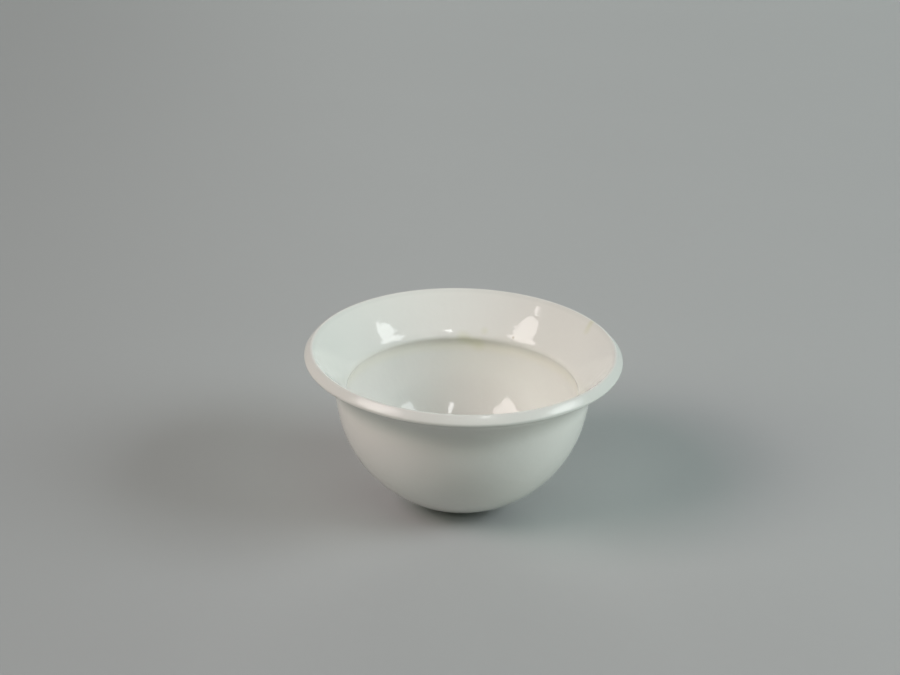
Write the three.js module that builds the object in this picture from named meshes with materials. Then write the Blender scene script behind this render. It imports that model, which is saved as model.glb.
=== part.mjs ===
// White porcelain dish: a half-round bowl under a wide flared flange with a square-cut lip, fired in one piece.
// Millimetres, +Z up. The origin is the centre of the flat seat that the dish stands on.
import * as THREE from 'three';

// Driving dimensions of the outside
const rimDiameter = 120; // across the outermost edge of the lip
const height = 62.75; // from the seat to the top of the lip
const bowlDiameter = 96.5; // outside of the half-round bowl
const neckRound = 16; // hollow sweep under the flange, from the bowl out to the lip
const seatDiameter = 26; // across the circle where the bowl is cut off flat to stand
const seatRound = 0.8; // rounding of the seat's edge

// Driving dimensions of the flange and its lip
const flareRadius = 165; // long curve of the flange, seen in section
const lipWidth = 4.6; // across the cut face of the lip, its roundings included
const lipRound = 1; // rounding of the two corners of the lip
const lipAngle = 48; // degrees between the cut face and level ground

// Driving dimensions of the inside
const bowlWall = 3.1; // wall at the bowl's widest level
const floorWall = 3.6; // wall in the middle of the floor
const beadProud = 1.2; // how far the bead stands in from the wall of the bowl
const beadRise = 0.6; // height of the bead above the bowl's widest level
const beadRound = 2.7; // rounding of the bead's nose
const throatRound = 6.5; // hollow rounding under the bead

// How far a flat facet may lie from the true curve
const chordError = 0.05;

// Finish of the glazed porcelain
const glaze = { color: 0xd8d9d1, roughness: 0.18, metalness: 0 };

// The section is drawn in a half plane: x is the distance from the axis, y the height above the seat.
// A round is a circle that the section follows for a while, with the clay inside it (convex) or outside it.
function round(centre, radius, convex) {
  return { centre, radius, convex };
}

// Centre of a circle that lies at one distance from point a and at another from point b.
// Two circles cross twice: side 1 gives the crossing left of the way from a to b, side -1 the one right of it.
function crossing(a, fromA, b, fromB, side) {
  const way = b.clone().sub(a);
  const gap = way.length();
  const along = (gap ** 2 + fromA ** 2 - fromB ** 2) / (2 * gap);
  const aside = side * Math.sqrt(fromA ** 2 - along ** 2);
  const left = new THREE.Vector2(-way.y, way.x);
  return a.clone().addScaledVector(way, along / gap).addScaledVector(left, aside / gap);
}

// The point where two tangent rounds touch, on the line through their centres.
function touch(a, b) {
  const [large, small] = a.radius > b.radius ? [a, b] : [b, a];
  const spoke = small.centre.clone().sub(large.centre).setLength(large.radius);
  return spoke.add(large.centre);
}

// Points along a round from one point of it to another, the last one left out.
function arc({ centre, radius, convex }, from, to) {
  const start = from.clone().sub(centre).angle();
  const end = to.clone().sub(centre).angle();
  const curve = new THREE.ArcCurve(centre.x, centre.y, radius, start, end, !convex);
  const facetLength = 2 * Math.sqrt(2 * radius * chordError);
  return curve.getPoints(Math.ceil(curve.getLength() / facetLength)).slice(0, -1);
}

// The walk along rounds that each touch the next, from a point on the first to a point on the last, left out too.
function walk(start, rounds, end) {
  const joints = rounds.slice(1).map((next, i) => touch(rounds[i], next));
  const stops = [start, ...joints, end];
  return rounds.flatMap((each, i) => arc(each, stops[i], stops[i + 1]));
}

// Bowl: a sphere cut off by the seat, and a hollow that leaves the given walls at its widest level and its floor.
const bowlRadius = bowlDiameter / 2;
const bowlLevel = Math.sqrt(bowlRadius ** 2 - (seatDiameter / 2) ** 2);
const bowl = round(new THREE.Vector2(0, bowlLevel), bowlRadius, true);
const wallRadius = bowlRadius - bowlWall;
const hollowLevel = (wallRadius ** 2 + bowlLevel ** 2 - floorWall ** 2) / (2 * (bowlLevel - floorWall));
const hollow = round(new THREE.Vector2(0, hollowLevel), hollowLevel - floorWall, false);

// Seat: the edge is rounded inside the sphere and runs out level with the ground.
const seatReach = Math.sqrt((bowlRadius - seatRound) ** 2 - (bowlLevel - seatRound) ** 2);
const seatEdge = round(new THREE.Vector2(seatReach, seatRound), seatRound, true);

// Lip: a cut face that leans outwards, between two rounded corners.
const lipTilt = THREE.MathUtils.degToRad(lipAngle);
const cutLength = lipWidth - 2 * lipRound;
const cutNormal = new THREE.Vector2(Math.sin(lipTilt), Math.cos(lipTilt));
const cutDown = new THREE.Vector2(Math.cos(lipTilt), -Math.sin(lipTilt));
const outerReach = rimDiameter / 2 - lipRound;
const innerCorner = round(new THREE.Vector2(outerReach - cutLength * cutDown.x, height - lipRound), lipRound, true);
const outerCorner = round(innerCorner.centre.clone().addScaledVector(cutDown, cutLength), lipRound, true);
const cutTop = innerCorner.centre.clone().addScaledVector(cutNormal, lipRound);
const cutFoot = outerCorner.centre.clone().addScaledVector(cutNormal, lipRound);
const topmost = new THREE.Vector2(innerCorner.centre.x, height);
const outermost = new THREE.Vector2(rimDiameter / 2, outerCorner.centre.y);

// Bead: a rounded nose where the flange meets the bowl, standing proud of the bowl's wall.
const beadCentre = new THREE.Vector2(wallRadius - beadProud + beadRound, bowlLevel + beadRise);
const bead = round(beadCentre, beadRound, true);

// Flange: its inside runs in one long, nearly straight curve from the bead to the lip.
const flareCentre = crossing(bead.centre, flareRadius - beadRound, innerCorner.centre, flareRadius - lipRound, -1);
const flare = round(flareCentre, flareRadius, true);

// Throat: the hollow rounding that undercuts the bead, from its nose to the wall of the bowl.
const throatCentre = crossing(hollow.centre, hollow.radius - throatRound, bead.centre, beadRound + throatRound, -1);
const throat = round(throatCentre, throatRound, false);

// Neck: one hollow sweep outside, off the bowl and out under the flange to the lip's lower corner.
// The flange's wall thins from the bowl to a waist close behind the lip, which is left thick.
const neckCentre = crossing(bowl.centre, bowlRadius + neckRound, outerCorner.centre, lipRound + neckRound, -1);
const neck = round(neckCentre, neckRound, false);

// Section: up the outside from the middle of the seat, over the lip, and down the inside to the middle of the floor.
const seatCentre = new THREE.Vector2(0, 0);
const seatRim = new THREE.Vector2(seatReach, 0);
const floorCentre = new THREE.Vector2(0, floorWall);
const section = [
  seatCentre,
  ...walk(seatRim, [seatEdge, bowl, neck, outerCorner], outermost),
  ...walk(outermost, [outerCorner], cutFoot),
  cutFoot,
  ...walk(cutTop, [innerCorner], topmost),
  ...walk(topmost, [innerCorner, flare, bead, throat, hollow], floorCentre),
  floorCentre,
];

// The section turned about the axis, with the number of facets that the widest circle needs, in whole quarters.
function turned(profile, widestRadius) {
  const quarterFacets = Math.ceil(Math.PI / (4 * Math.acos(1 - chordError / widestRadius)));
  return new THREE.LatheGeometry(profile, 4 * quarterFacets).rotateX(Math.PI / 2);
}

const dish = new THREE.Mesh(turned(section, rimDiameter / 2), new THREE.MeshStandardMaterial(glaze));
dish.name = 'dish';

const model = new THREE.Group();
model.add(dish);

export default model;
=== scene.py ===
"""A round porcelain dish, glazed inside and out, on a pale studio floor.

The dish is one surface of revolution: a section of touching arcs, turned about the upright axis, with the
slight unevenness of fired ware. All lengths are in metres, angles in radians, and +Z is up.
"""

from math import atan2, cos, pi, radians, sin, sqrt
from typing import NamedTuple

import bpy
import numpy as np
from bpy.props import FloatProperty, FloatVectorProperty, IntProperty, PointerProperty
from mathutils import Matrix, Vector


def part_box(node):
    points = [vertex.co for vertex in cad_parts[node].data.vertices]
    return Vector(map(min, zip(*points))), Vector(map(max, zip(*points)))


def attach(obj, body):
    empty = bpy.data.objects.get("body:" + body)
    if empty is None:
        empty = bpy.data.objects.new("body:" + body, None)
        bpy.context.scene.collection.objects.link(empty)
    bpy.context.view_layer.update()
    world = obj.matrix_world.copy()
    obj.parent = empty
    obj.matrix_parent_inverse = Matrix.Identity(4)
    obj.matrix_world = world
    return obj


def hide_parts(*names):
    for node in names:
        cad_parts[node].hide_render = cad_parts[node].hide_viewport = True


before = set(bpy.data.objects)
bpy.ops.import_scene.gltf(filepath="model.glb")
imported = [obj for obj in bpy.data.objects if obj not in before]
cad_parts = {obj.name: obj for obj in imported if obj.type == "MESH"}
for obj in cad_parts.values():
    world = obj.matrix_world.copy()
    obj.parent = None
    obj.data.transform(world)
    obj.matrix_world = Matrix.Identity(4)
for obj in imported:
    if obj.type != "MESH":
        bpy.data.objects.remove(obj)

bl_info = {
    "name": "Porcelain dish",
    "version": (1, 0, 0),
    "blender": (4, 5, 0),
    "location": "3D View > Sidebar > Dish",
    "description": "Makes a glazed porcelain dish with a flared flange, and a studio to show it in",
    "category": "Add Mesh",
}

NODE = "dish"
MM = 0.001
LOWEST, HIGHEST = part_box(NODE)

# Steps from the middle of the seat to its edge
SEAT_STEPS = 12
# The unevenness fades out below this height, so that the seat stays flat, and nearer to the axis than this
EVEN_HEIGHT = 2 * MM
EVEN_REACH = 10 * MM
# The rings fade in over this many of the lip's roundings, down from the lip's top
RING_FADE = 1.5
# Faces lower than this belong to the ground seat
GROUND_HEIGHT = 0.02 * MM

# Noise in the glaze: waves in a metre, its levels of the body's colour, and the ripple's depth
CLOUD_WAVES = 22.0
BODY_DARK = 0.985
BODY_LIGHT = 1.01
RIPPLE_WAVES = 200.0
RIPPLE_DEPTH = 0.1 * MM
# Share of the pooled glaze's colour: the least, and how much the cloud adds at most
POOL_LEAST = 0.35
POOL_CLOUD = 0.6
# The cut face's painted shade and extra roughness are full up to this share of the lip's width from its
# middle, and gone at that one
CUT_FULL = 0.4
CUT_NONE = 0.6
# Noise in the ground seat: waves in a metre, levels of its colour, the most dirt, and the grain's depth
GRAIN_WAVES = 2500.0
GRAIN_DARK = 0.94
GRAIN_DEPTH = 0.05 * MM
DIRT_WAVES = 90.0
DIRT_MOST = 0.35
DIRT_DARK = 0.7
# Noise in the paper: waves in a metre, and its levels of the paper's colour
PAPER_CLOUD_WAVES = 9.0
PAPER_GRAIN_WAVES = 160.0
PAPER_DARK = 0.975
PAPER_LIGHT = 1.025
# Painted shade: the paper darkens between these two places to the side, to this level, along a line slightly
# aslant
SHADE_START = 30 * MM
SHADE_END = -300 * MM
SHADE_LEVEL = 0.79
SHADE_SLANT = 0.1


def length(name, description, default):
    """A property for a length, which Blender shows in the scene's unit."""
    return FloatProperty(
        name=name, description=description, default=default, min=0.0, precision=5, unit="LENGTH"
    )


def share(name, description, default, high=1.0):
    """A property for a number without a unit."""
    return FloatProperty(name=name, description=description, default=default, min=0.0, max=high)


def angle(name, description, degrees):
    """A property for an angle, whose default is given in degrees."""
    return FloatProperty(
        name=name, description=description, default=radians(degrees), subtype="ANGLE", unit="ROTATION"
    )


def colour(name, description, default):
    """A property for a linear colour."""
    return FloatVectorProperty(
        name=name, description=description, default=default, min=0.0, subtype="COLOR", size=3
    )


class DishSizes(bpy.types.PropertyGroup):
    """Sizes of the dish's section and of its unevenness."""

    rim_diameter: length("Rim", "Across the outermost edge of the lip", HIGHEST.x - LOWEST.x)
    height: length("Height", "From the seat to the top of the lip", HIGHEST.z - LOWEST.z)
    bowl_diameter: length("Bowl", "Outside of the half-round bowl", 96.5 * MM)
    neck_round: length("Neck", "Hollow sweep under the flange, from the bowl out to the lip", 16 * MM)
    seat_diameter: length("Seat", "Across the circle where the bowl is cut off flat to stand", 26 * MM)
    seat_round: length("Seat edge", "Rounding of the seat's edge", 0.8 * MM)
    flare_radius: length("Flare", "Long curve of the flange, seen in section", 306 * MM)
    lip_width: length("Lip", "Across the cut face of the lip, its roundings included", 4.6 * MM)
    lip_round: length("Lip rounding", "Rounding of the two corners of the lip", 1 * MM)
    lip_angle: angle("Lip angle", "Between the cut face and level ground", 48)
    cut_round: length("Cut round", "Slight rounding of the lip's cut face by the glaze", 30 * MM)
    bowl_wall: length("Wall", "Wall at the bowl's widest level", 3.1 * MM)
    floor_wall: length("Floor", "Wall in the middle of the floor", 3.6 * MM)
    bead_proud: length("Bead depth", "How far the bead stands in from the wall of the bowl", 1.2 * MM)
    bead_rise: length("Bead rise", "Height of the bead above the bowl's widest level", 0.6 * MM)
    bead_round: length("Bead rounding", "Rounding of the bead's nose", 2.7 * MM)
    bead_ease: length("Bead ease", "How much tighter than the bead the glazed nose is", 0.4 * MM)
    shoulder_round: length("Shoulder", "Rounding of the glaze from the flange over onto the bead", 17.4 * MM)
    throat_round: length("Throat", "Hollow rounding under the bead", 5.5 * MM)
    side_pool: length("Side pool", "How thick the glaze stands in the groove at the two sides", 0.4 * MM)
    chord_error: length("Fineness", "How far the fine mesh may lie from the true curve", 0.004 * MM)
    turn_steps: IntProperty(name="Steps", description="Number of steps round the axis", default=288, min=3)
    unevenness: length("Unevenness", "How deep the glaze dips below the true surface", 0.05 * MM)


class DishFinish(bpy.types.PropertyGroup):
    """Colours and gloss of the porcelain."""

    body_colour: colour("Body", "White porcelain seen through clear glaze", (0.74, 0.74, 0.692))
    pooled_colour: colour("Pooled glaze", "Glaze that ran together under the bead", (0.735, 0.725, 0.63))
    pool_reach: length("Pool reach", "How far the glaze pools round the groove's deepest place", 4 * MM)
    # Painted shade: the colour that the lip's cut face is darkened to
    lip_painted_shade_colour: colour("Lip", "Slightly greyer porcelain of the lip's cut face", (0.672, 0.675, 0.63))
    biscuit_colour: colour("Biscuit", "Dry ground porcelain of the seat", (0.62, 0.58, 0.50))
    glaze_roughness: share("Glaze roughness", "Roughness of the fired glaze", 0.04)
    cut_roughness: share("Lip roughness", "How much rougher the lip's cut face is than the other glaze", 0.13)
    glaze_index: share("Glaze index", "Refractive index of the glaze", 1.5, 3.0)
    biscuit_roughness: share("Biscuit roughness", "Roughness of the ground seat", 0.7)


class DishStudio(bpy.types.PropertyGroup):
    """Floor, lamps and camera."""

    floor_colour: colour("Floor", "Pale grey paper", (0.372, 0.383, 0.377))
    floor_size: length("Floor size", "Side of the square of paper", 3.0)
    view_elevation: angle("View elevation", "How far above the horizon the camera stands", 25.67)
    view_distance: length("View distance", "From the camera to the middle of the widest level", 721.5 * MM)
    view_lens: share("Lens", "Focal length in millimetres on a sensor 36 mm wide", 75.90, 500.0)
    view_roll: angle("Roll", "Turn of the camera about its line of sight", 1.66)
    view_pan: angle("Pan", "How far the camera looks to the left of the bowl", 0.381)
    view_tilt: angle("Tilt", "How far the camera looks above the bowl", 1.462)
    walls: share("Walls", "Brightness of the room's walls as the glaze mirrors them", 0.3, 10.0)


class Mark(NamedTuple):
    """A small flaw in the glaze.

    Its middle lies at an azimuth in degrees from the front, a distance from the axis and a height. Its
    strength is the share of its own colour there, and it fades out over its width.
    """

    azimuth: float
    reach: float
    height: float
    width: float
    strength: float
    colour: tuple


BROWN = (0.30, 0.24, 0.12)
OLIVE = (0.58, 0.59, 0.32)
# A pinhole, a smudge beside it, a stain in the groove at the back, and a streak near the lip
MARKS = [
    Mark(154.2, 44.9 * MM, 49.1 * MM, 0.9 * MM, 0.7, BROWN),
    Mark(169.7, 45.4 * MM, 49.7 * MM, 2.4 * MM, 0.20, OLIVE),
    Mark(-179.6, 44.0 * MM, 46.6 * MM, 4.2 * MM, 0.30, OLIVE),
    Mark(176.7, 44.4 * MM, 45.4 * MM, 3.6 * MM, 0.22, OLIVE),
    Mark(172.5, 44.7 * MM, 44.2 * MM, 4.4 * MM, 0.28, OLIVE),
    Mark(119.0, 56.7 * MM, 62.5 * MM, 2.2 * MM, 0.30, OLIVE),
    Mark(118.7, 55.3 * MM, 61.2 * MM, 2.4 * MM, 0.28, OLIVE),
    Mark(117.9, 54.0 * MM, 59.6 * MM, 2.6 * MM, 0.20, OLIVE),
]


class Ring(NamedTuple):
    """A slight ridge or hollow that throwing left round the flange: its way up from the shoulder, its width
    and its height, below 0 for a hollow.
    """

    way: float
    width: float
    height: float


RINGS = [
    Ring(0.83 * MM, 2.79 * MM, -0.12 * MM),
    Ring(4.4 * MM, 2.61 * MM, 0.052 * MM),
]


class Round(NamedTuple):
    """A circle that the section follows for a while, with the clay inside it (convex) or outside it."""

    centre: np.ndarray
    radius: float
    convex: bool


def crossing(a, from_a, b, from_b, side):
    """Centre of a circle at one distance from point a and another from point b.

    Two circles cross twice: side 1 gives the crossing left of the way from a to b, side -1 the one right of
    it.
    """
    way = b - a
    gap = np.hypot(*way)
    along = (gap**2 + from_a**2 - from_b**2) / (2 * gap)
    aside = side * sqrt(from_a**2 - along**2)
    left = np.array([-way[1], way[0]])
    return a + way * along / gap + left * aside / gap


def touch(a, b):
    """The point where two tangent rounds touch, on the line through their centres."""
    large, small = (a, b) if a.radius > b.radius else (b, a)
    way = small.centre - large.centre
    return large.centre + way * large.radius / np.hypot(*way)


def arc(each, start, end, chord_error):
    """Points along a round from start to end, the last one left out.

    The point at angle t is the centre plus the radius times (cos t, sin t), with t in even steps.
    """
    first = atan2(*(start - each.centre)[::-1])
    last = atan2(*(end - each.centre)[::-1])
    turn = 1 if each.convex else -1
    sweep = (turn * (last - first)) % (2 * pi)
    steps = int(np.ceil(sweep * each.radius / sqrt(8 * each.radius * chord_error)))
    t = first + turn * sweep * np.arange(steps) / steps
    return each.centre + each.radius * np.column_stack([np.cos(t), np.sin(t)])


def walk(start, rounds, end, chord_error):
    """Points along rounds that each touch the next, from start on the first to end on the last, which is left
    out.
    """
    stops = [start, *(touch(a, b) for a, b in zip(rounds, rounds[1:])), end]
    return np.vstack([arc(each, a, b, chord_error) for each, a, b in zip(rounds, stops, stops[1:])])


def dish_rounds(sizes):
    """The rounds of the section by name, worked out from the sizes.

    In the section x is the distance from the axis and y is the height.
    """
    bowl_radius = sizes.bowl_diameter / 2
    level = sqrt(bowl_radius**2 - (sizes.seat_diameter / 2) ** 2)
    wall_radius = bowl_radius - sizes.bowl_wall
    hollow_level = (wall_radius**2 + level**2 - sizes.floor_wall**2) / (2 * (level - sizes.floor_wall))
    seat_reach = sqrt((bowl_radius - sizes.seat_round) ** 2 - (level - sizes.seat_round) ** 2)
    cut_length = sizes.lip_width - 2 * sizes.lip_round
    cut_down = np.array([cos(sizes.lip_angle), -sin(sizes.lip_angle)])
    outer_reach = sizes.rim_diameter / 2 - sizes.lip_round
    inner_lip = np.array([outer_reach - cut_length * cut_down[0], sizes.height - sizes.lip_round])
    nose = np.array([wall_radius - sizes.bead_proud + sizes.bead_round, level + sizes.bead_rise])
    outer_lip = inner_lip + cut_length * cut_down
    cut_reach = sizes.cut_round - sizes.lip_round
    cut_centre = crossing(outer_lip, cut_reach, inner_lip, cut_reach, 1)
    nose_reach = sizes.flare_radius - sizes.bead_round
    flare_centre = crossing(nose, nose_reach, inner_lip, sizes.flare_radius - sizes.lip_round, -1)
    bowl_centre = np.array([0.0, level])
    hollow_centre = np.array([0.0, hollow_level])
    hollow_radius = hollow_level - sizes.floor_wall
    throat_reach = hollow_radius - sizes.throat_round
    nose_gap = sizes.bead_round + sizes.throat_round
    throat_centre = crossing(hollow_centre, throat_reach, nose, nose_gap, -1)
    bead_round = sizes.bead_round - sizes.bead_ease
    bead_centre = nose + (throat_centre - nose) * sizes.bead_ease / nose_gap
    shoulder_reach = sizes.flare_radius - sizes.shoulder_round
    shoulder_centre = crossing(
        flare_centre, shoulder_reach, bead_centre, sizes.shoulder_round - bead_round, -1
    )
    neck_centre = crossing(
        bowl_centre, bowl_radius + sizes.neck_round, outer_lip, sizes.lip_round + sizes.neck_round, -1
    )
    return {
        "seat_edge": Round(np.array([seat_reach, sizes.seat_round]), sizes.seat_round, True),
        "bowl": Round(bowl_centre, bowl_radius, True),
        "neck": Round(neck_centre, sizes.neck_round, False),
        "outer_lip": Round(outer_lip, sizes.lip_round, True),
        "cut": Round(cut_centre, sizes.cut_round, True),
        "inner_lip": Round(inner_lip, sizes.lip_round, True),
        "flare": Round(flare_centre, sizes.flare_radius, True),
        "shoulder": Round(shoulder_centre, sizes.shoulder_round, True),
        "bead": Round(bead_centre, bead_round, True),
        "throat": Round(throat_centre, sizes.throat_round, False),
        "hollow": Round(hollow_centre, hollow_radius, False),
    }


def deepest_place(sizes, rounds):
    """The point of the section that lies deepest in the groove under the bead."""
    return rounds["throat"].centre + [sizes.throat_round, 0.0]


def dish_section(sizes, rounds):
    """Points up the outside from the middle of the seat, over the lip, and down the inside to the floor's
    middle.
    """
    seat_rim = np.array([rounds["seat_edge"].centre[0], 0.0])
    topmost = rounds["inner_lip"].centre + [0.0, sizes.lip_round]
    floor = np.array([0.0, sizes.floor_wall])
    up = [rounds[name] for name in ("seat_edge", "bowl", "neck", "outer_lip", "cut", "inner_lip")]
    down = [rounds[name] for name in ("inner_lip", "flare", "shoulder", "bead", "throat", "hollow")]
    return np.vstack([
        np.linspace([0.0, 0.0], seat_rim, SEAT_STEPS, endpoint=False),
        walk(seat_rim, up, topmost, sizes.chord_error),
        walk(topmost, down, floor, sizes.chord_error),
        floor[None],
    ])


class Wave(NamedTuple):
    """A wave of the unevenness: how many turns it has round the axis, its wave number along the section in
    radians to the metre, its phase and its strength.
    """

    turns: int
    number: float
    phase: float
    strength: float


WAVES = [
    Wave(2, 0.0, 0.4, 1.0),
    Wave(3, 38.0, 1.9, 0.8),
    Wave(5, 95.0, 0.7, 0.6),
    Wave(8, 150.0, 3.1, 0.4),
    Wave(11, 310.0, 5.2, 0.25),
    Wave(17, 420.0, 2.2, 0.15),
]


def unevenness(along, turn):
    """Depth, from 0 to 1, of the glaze below the true surface.

    At a way along the section and a turn round the axis it is a sum of waves, brought into the range 0 to 1.
    Each is its strength times the cosine of a sum: the turn times a whole number, the way times the wave
    number, and the phase. So it closes on itself.
    """
    total = sum(
        wave.strength * np.cos(wave.turns * turn + wave.number * along + wave.phase) for wave in WAVES
    )
    return 0.5 - 0.5 * total / sum(wave.strength for wave in WAVES)


def ring_height(sizes, rounds, section, along):
    """How far the rings lift each point of the section, worked out from its way along the section."""
    top = np.argmax(section[:, 1])
    foot = touch(rounds["flare"], rounds["shoulder"])
    foot_row = top + np.argmin(np.hypot(*(section[top:] - foot).T))
    way = along[foot_row] - along
    lift = sum(ring.height * np.exp(-(((way - ring.way) / ring.width) ** 2)) for ring in RINGS)
    return lift * np.clip((along - along[top]) / (RING_FADE * sizes.lip_round), 0.0, 1.0)


def dish_grid(sizes):
    """Points of the dish on a grid: rows along the section, columns round the axis.

    The point at row s and angle v is (x cos v, x sin v, y), where (x, y) is the section's point moved below
    the true surface, against its outward normal, by the unevenness at s and v; the seat stays flat. On the
    inside the point also moves out by each ring's height times exp(-(d / w)^2), where d is the way along the
    section from the ring and w its width; the rings fade out towards the lip's top. In the groove the point
    moves out by the side pool too, times exp(-(d / w)^2) for its distance d from the deepest place and the
    bead's rounding w, and times cos(v)^4, which is 1 at the two sides and 0 at the front and the back.
    """
    rounds = dish_rounds(sizes)
    section = dish_section(sizes, rounds)
    along = np.concatenate([[0.0], np.cumsum(np.hypot(*np.diff(section, axis=0).T))])
    tangent = np.gradient(section, axis=0)
    tangent /= np.hypot(*tangent.T)[:, None]
    normal = np.column_stack([tangent[:, 1], -tangent[:, 0]])
    turn = np.arange(sizes.turn_steps) * 2 * pi / sizes.turn_steps
    off_seat = np.clip(section[:, 1] / EVEN_HEIGHT, 0.0, 1.0)
    off_axis = np.clip(section[:, 0] / EVEN_REACH, 0.0, 1.0)
    depth = sizes.unevenness * (off_seat * off_axis)[:, None] * unevenness(along[:, None], turn[None])
    depth -= ring_height(sizes, rounds, section, along)[:, None]
    from_deepest = np.hypot(*(section - deepest_place(sizes, rounds)).T)
    pooled = np.exp(-((from_deepest / sizes.bead_round) ** 2))
    depth -= sizes.side_pool * pooled[:, None] * np.cos(turn) ** 4
    reach = section[:, :1] - depth * normal[:, :1]
    rise = section[:, 1:] - depth * normal[:, 1:]
    return np.stack([reach * np.cos(turn), reach * np.sin(turn), rise + 0 * turn], axis=-1)


def closed_mesh(name, grid):
    """A mesh of the grid, closed round the axis, whose first and last rows are each one point on the axis."""
    rows, columns = grid.shape[:2]
    inner = grid[1:-1].reshape(-1, 3)
    points = np.vstack([grid[0, :1], inner, grid[-1, :1]])
    row = np.arange(rows - 3)[:, None] * columns
    column = np.arange(columns)
    beside = (column + 1) % columns
    corners = [row + column, row + beside, row + columns + beside, row + columns + column]
    quads = np.stack(corners, axis=-1) + 1
    last_row = 1 + (rows - 3) * columns
    top = len(points) - 1
    first_fan = np.column_stack([np.zeros(columns, int), beside + 1, column + 1])
    last_fan = np.column_stack([last_row + column, last_row + beside, np.full(columns, top)])
    mesh = bpy.data.meshes.new(name)
    mesh.from_pydata(points, [], [*first_fan.tolist(), *quads.reshape(-1, 4).tolist(), *last_fan.tolist()])
    mesh.polygons.foreach_set("use_smooth", np.ones(len(mesh.polygons), bool))
    mesh.update()
    return mesh


def add(tree, kind, inputs=None, **settings):
    """A new shader node with its settings; an input takes a value, or a link where it is given a socket."""
    made = tree.nodes.new(kind)
    for key, value in settings.items():
        setattr(made, key, value)
    for key, value in (inputs or {}).items():
        if isinstance(value, bpy.types.NodeSocket):
            tree.links.new(value, made.inputs[key])
        else:
            made.inputs[key].default_value = value
    return made


def calc(tree, operation, *values):
    """The result of a Math node."""
    return add(tree, "ShaderNodeMath", dict(enumerate(values)), operation=operation).outputs[0]


def fade(tree, value, full, none):
    """1 where value is at full, 0 where it is at none, with a smooth step between them."""
    inputs = {"Value": value, "From Min": full, "From Max": none, "To Min": 1.0, "To Max": 0.0}
    made = add(tree, "ShaderNodeMapRange", inputs, interpolation_type="SMOOTHSTEP")
    return made.outputs["Result"]


def tint(tree, factor, colour_a, colour_b):
    """Colour a where factor is 0, colour b where it is 1."""
    made = add(tree, "ShaderNodeMix", {0: factor, 6: colour_a, 7: colour_b}, data_type="RGBA")
    return made.outputs[2]


def noise(tree, place, scale, detail=2.0, roughness=0.5):
    """Noise between 0 and 1, of the given number of waves in a metre."""
    inputs = {"Vector": place, "Scale": scale, "Detail": detail, "Roughness": roughness}
    return add(tree, "ShaderNodeTexNoise", inputs).outputs["Fac"]


def hypotenuse(tree, a, b):
    """How long a way is whose steps a and b stand at a right angle."""
    squares = calc(tree, "ADD", calc(tree, "POWER", a, 2.0), calc(tree, "POWER", b, 2.0))
    return calc(tree, "SQRT", squares)


def mean(tree, a, b):
    """The mean of two numbers."""
    return calc(tree, "MULTIPLY", calc(tree, "ADD", a, b), 0.5)


def opaque(rgb, level=1.0):
    """A colour times a level, with full alpha, as a shader socket takes it."""
    return (*(c * level for c in rgb), 1.0)


def new_material(name):
    """An empty node material and its tree."""
    made = bpy.data.materials.new(name)
    made.use_nodes = True
    made.node_tree.nodes.clear()
    return made, made.node_tree


def mark_share(tree, place, mark):
    """The share of a mark's colour at a place, which is its strength in its middle."""
    turn = radians(mark.azimuth)
    middle = (mark.reach * sin(turn), -mark.reach * cos(turn), mark.height)
    away = add(tree, "ShaderNodeVectorMath", {0: place, 1: middle}, operation="DISTANCE").outputs["Value"]
    return calc(tree, "MULTIPLY", fade(tree, away, 0.0, mark.width), mark.strength)


def glaze_material(sizes, finish):
    """White porcelain under clear glaze, with its marks.

    It is a little darker where glaze pooled in the groove; on the lip's cut face it is darkened by painted
    shade and is less glossy.
    """
    made, tree = new_material("glazed_porcelain")
    place = add(tree, "ShaderNodeTexCoord").outputs["Object"]
    split = add(tree, "ShaderNodeSeparateXYZ", {0: place}).outputs
    reach = hypotenuse(tree, split[0], split[1])
    rounds = dish_rounds(sizes)

    def from_point(point):
        """Distance in the section from a point."""
        x, y = (float(v) for v in point)
        return hypotenuse(tree, calc(tree, "SUBTRACT", reach, x), calc(tree, "SUBTRACT", split[2], y))

    cloud = noise(tree, place, CLOUD_WAVES, detail=3.0)
    pool = fade(tree, from_point(deepest_place(sizes, rounds)), 0.0, finish.pool_reach)
    pool_share = calc(tree, "ADD", POOL_LEAST, calc(tree, "MULTIPLY", cloud, POOL_CLOUD))
    cut_middle = (rounds["inner_lip"].centre + rounds["outer_lip"].centre) / 2
    cut = fade(tree, from_point(cut_middle), sizes.lip_width * CUT_FULL, sizes.lip_width * CUT_NONE)
    body = tint(tree, cloud, opaque(finish.body_colour, BODY_DARK), opaque(finish.body_colour, BODY_LIGHT))
    body = tint(tree, calc(tree, "MULTIPLY", pool, pool_share), body, opaque(finish.pooled_colour))
    # Painted shade darkens the lip's cut face
    body = tint(tree, cut, body, opaque(finish.lip_painted_shade_colour))
    for mark in MARKS:
        body = tint(tree, mark_share(tree, place, mark), body, opaque(mark.colour))
    dullness = calc(tree, "MULTIPLY", cut, finish.cut_roughness)
    ripple = noise(tree, place, RIPPLE_WAVES)
    bump = add(tree, "ShaderNodeBump", {"Strength": 1.0, "Distance": RIPPLE_DEPTH, "Height": ripple})
    shader = add(tree, "ShaderNodeBsdfPrincipled", {
        "Base Color": body,
        "Roughness": calc(tree, "ADD", finish.glaze_roughness, dullness),
        "IOR": finish.glaze_index,
        "Normal": bump.outputs[0],
    })
    add(tree, "ShaderNodeOutputMaterial", {"Surface": shader.outputs[0]})
    return made


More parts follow.
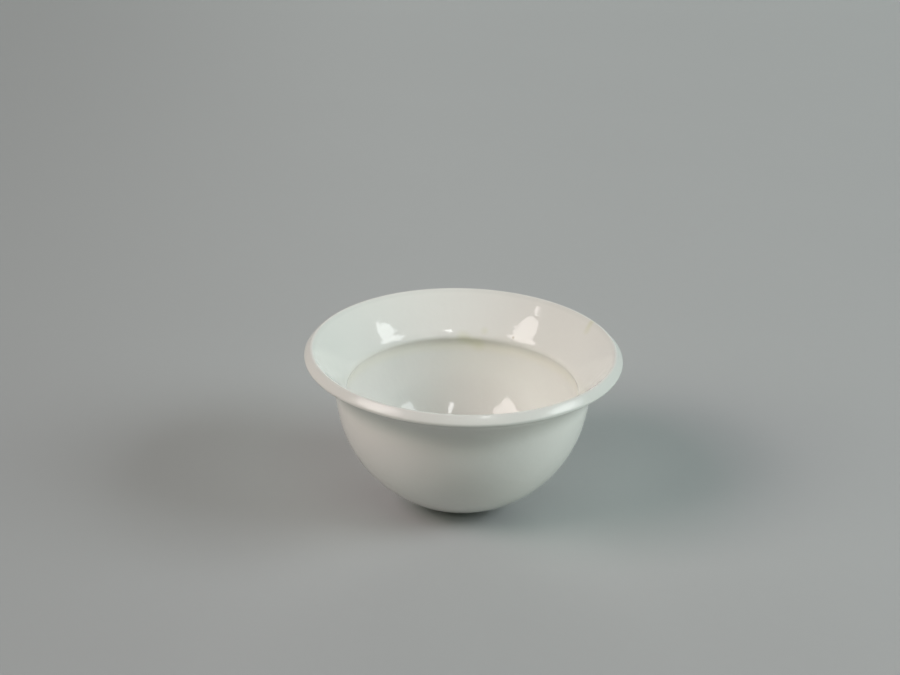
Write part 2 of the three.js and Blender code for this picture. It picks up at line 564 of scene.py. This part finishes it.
def biscuit_material(finish):
    """Bare porcelain, ground flat: dry, grainy and a little warmer."""
    made, tree = new_material("biscuit_seat")
    place = add(tree, "ShaderNodeTexCoord").outputs["Object"]
    grain = noise(tree, place, GRAIN_WAVES, detail=3.0, roughness=0.6)
    dirt = noise(tree, place, DIRT_WAVES, detail=3.0)
    clean = tint(tree, grain, opaque(finish.biscuit_colour, GRAIN_DARK), opaque(finish.biscuit_colour))
    dirt_share = calc(tree, "MULTIPLY", dirt, DIRT_MOST)
    body = tint(tree, dirt_share, clean, opaque(finish.biscuit_colour, DIRT_DARK))
    bump = add(tree, "ShaderNodeBump", {"Strength": 0.3, "Distance": GRAIN_DEPTH, "Height": grain})
    shader = add(tree, "ShaderNodeBsdfPrincipled", {
        "Base Color": body,
        "Roughness": finish.biscuit_roughness,
        "Normal": bump.outputs[0],
    })
    add(tree, "ShaderNodeOutputMaterial", {"Surface": shader.outputs[0]})
    return made


class DISH_OT_add_dish(bpy.types.Operator):
    """Make the glazed dish in the place of its plain solid"""

    bl_idname = "mesh.porcelain_dish_add"
    bl_label = "Add Porcelain Dish"

    def execute(self, context):
        sizes, finish = context.scene.dish_sizes, context.scene.dish_finish
        mesh = closed_mesh("glazed_dish", dish_grid(sizes))
        mesh.materials.append(glaze_material(sizes, finish))
        mesh.materials.append(biscuit_material(finish))
        height = np.array([face.center.z for face in mesh.polygons])
        mesh.polygons.foreach_set("material_index", (height < GROUND_HEIGHT).astype(np.int32))
        piece = bpy.data.objects.new("glazed_dish", mesh)
        context.scene.collection.objects.link(piece)
        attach(piece, "root")
        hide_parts(NODE)
        return {"FINISHED"}


class Lamp(NamedTuple):
    """A soft lamp: where it stands seen from the dish, its size, turn, colour and brightness.

    Its azimuth from the front, its elevation and its turn about its own beam are in degrees. A mirrored lamp
    shows in glossy surfaces and doesn't light matt ones; with any other lamp it is the other way round.
    """

    azimuth: float
    elevation: float
    distance: float
    width: float
    height: float
    roll: float
    colour: tuple
    brightness: float
    mirrored: bool


COOL = (0.95, 1.0, 1.0)
WARM = (1.0, 0.92, 0.895)
WHITE = (1.0, 1.0, 1.0)
# Distance, width, height and turn of each lamp that isn't mirrored; its tint is that of the light there
SOFT = (3.0, 1.6, 1.1, 0.0)
LAMPS = {
    "mirrored_right": Lamp(82.7, 36.8, 0.87, 0.327, 0.194, -4.5, COOL, 5.0, True),
    "mirrored_left": Lamp(-69.1, 42.1, 0.52, 0.217, 0.184, -10.2, WARM, 5.0, True),
    "mirrored_front": Lamp(21.3, 55.5, 0.25, 0.0188, 0.0483, -27.4, WHITE, 8.0, True),
    "right": Lamp(80.0, 32.0, *SOFT, (0.885, 0.935, 1.0), 9.57, False),
    "right_low": Lamp(80.0, 8.0, *SOFT, (0.815, 1.0, 0.84), 3.87, False),
    "left": Lamp(-65.0, 32.0, *SOFT, (0.98, 1.0, 0.885), 6.01, False),
    "left_high": Lamp(-65.0, 45.0, *SOFT, (1.0, 0.72, 0.80), 5.48, False),
    "top": Lamp(10.0, 60.0, *SOFT, (0.775, 1.0, 0.905), 2.35, False),
    "back": Lamp(180.0, 8.0, *SOFT, (0.98, 1.0, 0.99), 9.36, False),
    "back_right": Lamp(140.0, 20.0, *SOFT, (0.81, 1.0, 0.915), 2.15, False),
    "back_left": Lamp(-140.0, 20.0, *SOFT, (0.90, 1.0, 0.985), 2.46, False),
}


def add_lamp(scene, name, lamp, target):
    """An area lamp that faces the target.

    Its power is pi times its area times its brightness, which gives its face that brightness.
    """
    data = bpy.data.lights.new(name, "AREA")
    data.shape = "RECTANGLE"
    data.size, data.size_y = lamp.width, lamp.height
    data.color = lamp.colour
    data.energy = pi * lamp.width * lamp.height * lamp.brightness
    made = bpy.data.objects.new(name, data)
    azimuth, elevation = radians(lamp.azimuth), radians(lamp.elevation)
    way = Vector((sin(azimuth) * cos(elevation), -cos(azimuth) * cos(elevation), sin(elevation)))
    made.location = target + way * lamp.distance
    aim = way.to_track_quat("Z", "Y").to_matrix() @ Matrix.Rotation(radians(lamp.roll), 3, "Z")
    made.rotation_euler = aim.to_euler()
    made.visible_camera = False
    made.visible_glossy = lamp.mirrored
    made.visible_diffuse = not lamp.mirrored
    scene.collection.objects.link(made)


def add_camera(scene, studio, target):
    """A camera that looks down at the target from the front, then turned about its own axes."""
    data = bpy.data.cameras.new("camera")
    data.sensor_width = 36.0
    data.lens = studio.view_lens
    made = bpy.data.objects.new("camera", data)
    elevation = studio.view_elevation
    place = target + studio.view_distance * Vector((0.0, -cos(elevation), sin(elevation)))
    look = Matrix.Rotation(pi / 2 - elevation, 4, "X")
    own = Matrix.Rotation(studio.view_roll, 4, "Z") @ Matrix.Rotation(studio.view_pan, 4, "Y")
    made.matrix_world = Matrix.Translation(place) @ look @ own @ Matrix.Rotation(studio.view_tilt, 4, "X")
    scene.collection.objects.link(made)
    scene.camera = made


def floor_material(studio):
    """Matt grey paper, faintly cloudy and grainy, with painted shade that darkens it smoothly to the left of
    the dish.
    """
    made, tree = new_material("paper_floor")
    place = add(tree, "ShaderNodeTexCoord").outputs["Object"]
    cloud = noise(tree, place, PAPER_CLOUD_WAVES, detail=4.0)
    grain = noise(tree, place, PAPER_GRAIN_WAVES, detail=6.0, roughness=0.7)
    dark = opaque(studio.floor_colour, PAPER_DARK)
    light = opaque(studio.floor_colour, PAPER_LIGHT)
    paper = tint(tree, mean(tree, cloud, grain), dark, light)
    split = add(tree, "ShaderNodeSeparateXYZ", {0: place}).outputs
    # Painted shade: the paper's colour darkens to the left
    across = calc(tree, "ADD", split[0], calc(tree, "MULTIPLY", split[1], SHADE_SLANT))
    lit = fade(tree, across, SHADE_START, SHADE_END)
    shader = add(tree, "ShaderNodeBsdfPrincipled", {
        "Base Color": tint(tree, lit, opaque(studio.floor_colour, SHADE_LEVEL), paper),
        "Roughness": 0.9,
        "Specular IOR Level": 0.2,
    })
    add(tree, "ShaderNodeOutputMaterial", {"Surface": shader.outputs[0]})
    return made


def add_floor(scene, studio):
    """A square of paper under the dish, wide enough to reach past the photograph's view."""
    half = studio.floor_size / 2
    corners = [(-half, -half, 0.0), (half, -half, 0.0), (half, half, 0.0), (-half, half, 0.0)]
    mesh = bpy.data.meshes.new("floor")
    mesh.from_pydata(corners, [], [(0, 1, 2, 3)])
    mesh.materials.append(floor_material(studio))
    made = bpy.data.objects.new("floor", mesh)
    scene.collection.objects.link(made)


def add_world(scene, studio):
    """The room: like the paper where the camera sees past the floor, grey walls in the glaze, else dark."""
    world = bpy.data.worlds.new("studio_air")
    world.use_nodes = True
    tree = world.node_tree
    tree.nodes.clear()
    white, paper = opaque(WHITE), opaque(studio.floor_colour)
    walls = add(tree, "ShaderNodeBackground", {"Color": white, "Strength": studio.walls}).outputs[0]
    seen = add(tree, "ShaderNodeBackground", {"Color": paper, "Strength": 1.0}).outputs[0]
    ray = add(tree, "ShaderNodeLightPath").outputs
    mirrored = add(tree, "ShaderNodeMixShader", {0: ray["Is Glossy Ray"], 2: walls}).outputs[0]
    both = add(tree, "ShaderNodeMixShader", {0: ray["Is Camera Ray"], 1: mirrored, 2: seen}).outputs[0]
    add(tree, "ShaderNodeOutputWorld", {"Surface": both})
    scene.world = world


class DISH_OT_add_studio(bpy.types.Operator):
    """Add the floor, the soft lamps and the camera round the dish"""

    bl_idname = "scene.dish_studio_add"
    bl_label = "Add Studio"

    def execute(self, context):
        scene = context.scene
        sizes, studio = scene.dish_sizes, scene.dish_studio
        widest_level = sqrt((sizes.bowl_diameter / 2) ** 2 - (sizes.seat_diameter / 2) ** 2)
        middle = Vector((0.0, 0.0, widest_level))
        add_floor(scene, studio)
        add_world(scene, studio)
        for name, lamp in LAMPS.items():
            add_lamp(scene, name, lamp, middle)
        add_camera(scene, studio, middle)
        scene.view_settings.view_transform = "Standard"
        return {"FINISHED"}


class DISH_PT_panel(bpy.types.Panel):
    """Lists the steps that make the dish and its studio"""

    bl_label = "Porcelain Dish"
    bl_idname = "DISH_PT_panel"
    bl_space_type = "VIEW_3D"
    bl_region_type = "UI"
    bl_category = "Dish"

    def draw(self, context):
        for operator in (DISH_OT_add_dish, DISH_OT_add_studio):
            self.layout.operator(operator.bl_idname)
        for group in (context.scene.dish_sizes, context.scene.dish_finish, context.scene.dish_studio):
            box = self.layout.box()
            for name in group.__annotations__:
                box.prop(group, name)


CLASSES = (DishSizes, DishFinish, DishStudio, DISH_OT_add_dish, DISH_OT_add_studio, DISH_PT_panel)


def register():
    """Register the classes and hang the settings on the scene."""
    for each in CLASSES:
        bpy.utils.register_class(each)
    bpy.types.Scene.dish_sizes = PointerProperty(type=DishSizes)
    bpy.types.Scene.dish_finish = PointerProperty(type=DishFinish)
    bpy.types.Scene.dish_studio = PointerProperty(type=DishStudio)


def unregister():
    """Take the settings off the scene and unregister the classes."""
    del bpy.types.Scene.dish_studio
    del bpy.types.Scene.dish_finish
    del bpy.types.Scene.dish_sizes
    for each in reversed(CLASSES):
        bpy.utils.unregister_class(each)


def main():
    """Register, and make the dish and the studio."""
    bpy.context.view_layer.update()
    register()
    bpy.ops.mesh.porcelain_dish_add()
    bpy.ops.scene.dish_studio_add()


if __name__ == "__main__":
    main()
